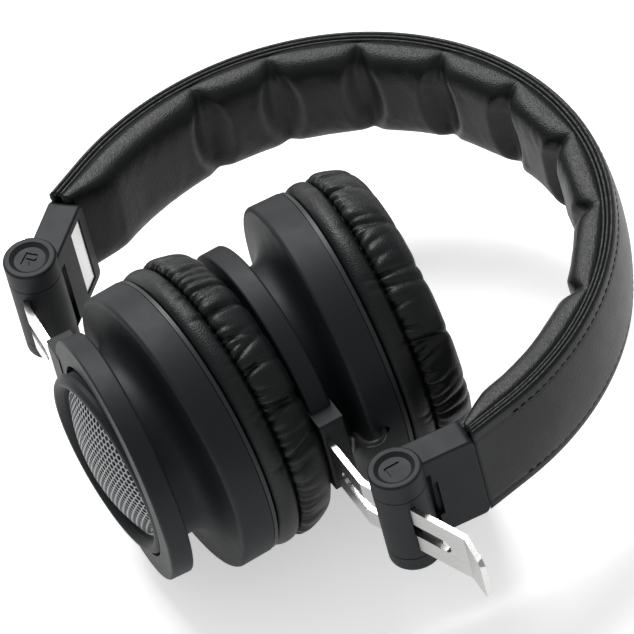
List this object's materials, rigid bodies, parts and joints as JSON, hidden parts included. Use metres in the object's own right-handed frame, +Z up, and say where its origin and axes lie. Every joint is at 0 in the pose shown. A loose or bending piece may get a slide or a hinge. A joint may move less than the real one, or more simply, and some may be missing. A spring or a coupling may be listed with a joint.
{
  "type": "over ear headphones",
  "caption": "Folding over ear headphones: padded headband, hinged end blocks, slotted steel arms, flat round cups with perforated grilles and gathered ear cushions.",
  "frame": {"origin": "middle of the lowest plane of the whole object, in its folded rest pose", "axes": "+X from the right hinge to the left one, +Y towards the crown of the headband, +Z up along the fold axes"},
  "size_m": [0.2284, 0.1949, 0.0952],
  "materials": {
    "soft_touch": "fine soft-touch coat over moulded plastic, charcoal",
    "leather": "black synthetic leather with a fine grain and a low sheen",
    "steel": "satin stainless strip",
    "spring_steel": "plain spring steel",
    "pin_steel": "turned steel",
    "grille_steel": "silver-grey perforated sheet",
    "foam": "open-cell foam, black",
    "trim": "smooth moulded rim, dark grey",
    "inner_plastic": "plain black moulding",
    "magnet": "plated steel pot",
    "film": "thin pressed film",
    "ear_cloth": "fine black acoustic cloth",
    "socket_metal": "turned sleeve",
    "lead_sheath": "black sheath"
  },
  "bodies": {
    "headband": {"headband_cover": "leather", "headband_spring": "spring_steel", "headband_pad": "leather", "headband_piping": "leather", "right_end_block": "soft_touch", "right_cap": "soft_touch", "right_lower_cap": "soft_touch", "right_hinge_pin": "pin_steel", "right_strip_plate": "steel", "left_end_block": "soft_touch", "left_cap": "soft_touch", "left_lower_cap": "soft_touch", "left_hinge_pin": "pin_steel", "left_strip_plate": "steel"},
    "right_barrel": {"right_barrel": "soft_touch", "right_stop_pin": "pin_steel", "right_friction_shoe": "inner_plastic"},
    "left_barrel": {"left_barrel": "soft_touch", "left_stop_pin": "pin_steel", "left_friction_shoe": "inner_plastic"},
    "right_arm": {"right_arm": "steel", "right_flange": "soft_touch", "right_upper_tilt_pin": "pin_steel", "right_lower_tilt_pin": "pin_steel"},
    "left_arm": {"left_arm": "steel", "left_flange": "soft_touch", "left_upper_tilt_pin": "pin_steel", "left_lower_tilt_pin": "pin_steel"},
    "right_cup": {"right_cup_shell": "soft_touch", "right_neck": "soft_touch", "right_bezel": "soft_touch", "right_grille": "grille_steel", "right_grille_foam": "foam", "right_trim_ring": "trim", "right_baffle": "inner_plastic", "right_driver_frame": "inner_plastic", "right_driver_magnet": "magnet", "right_driver_diaphragm": "film", "right_damping_ring": "foam", "right_ear_mesh": "ear_cloth", "right_ear_cushion": "leather"},
    "left_cup": {"left_cup_shell": "soft_touch", "left_neck": "soft_touch", "left_bezel": "soft_touch", "left_grille": "grille_steel", "left_grille_foam": "foam", "left_trim_ring": "trim", "left_baffle": "inner_plastic", "left_driver_frame": "inner_plastic", "left_driver_magnet": "magnet", "left_driver_diaphragm": "film", "left_damping_ring": "foam", "left_ear_mesh": "ear_cloth", "left_ear_cushion": "leather", "left_audio_socket": "socket_metal", "left_signal_lead": "lead_sheath"}
  },
  "joints": [
    {"name": "right_fold", "type": "hinge", "parent": "headband", "child": "right_barrel", "pos_m": [-0.07862, -0.04584, 0.0488], "axis": [0, 0, 1], "range_deg": [-22, 0]},
    {"name": "right_slide", "type": "slide", "parent": "right_barrel", "child": "right_arm", "axis": [0.7266, -0.6871, 0], "range_m": [0, 0.02]},
    {"name": "right_tilt", "type": "hinge", "parent": "right_arm", "child": "right_cup", "pos_m": [-0.01255, -0.07864, 0.0476], "axis": [0, 0, 1], "range_deg": [-2.5, 0]},
    {"name": "left_fold", "type": "hinge", "parent": "headband", "child": "left_barrel", "pos_m": [0.07478, -0.04584, 0.0488], "axis": [0, 0, -1], "range_deg": [0, 15]},
    {"name": "left_slide", "type": "slide", "parent": "left_barrel", "child": "left_arm", "axis": [-0.9995, -0.0314, 0], "range_m": [-0.003, 0]},
    {"name": "left_tilt", "type": "hinge", "parent": "left_arm", "child": "left_cup", "pos_m": [0.00149, -0.02657, 0.0476], "axis": [0, 0, -1], "range_deg": [-8, 2]}
  ]
}
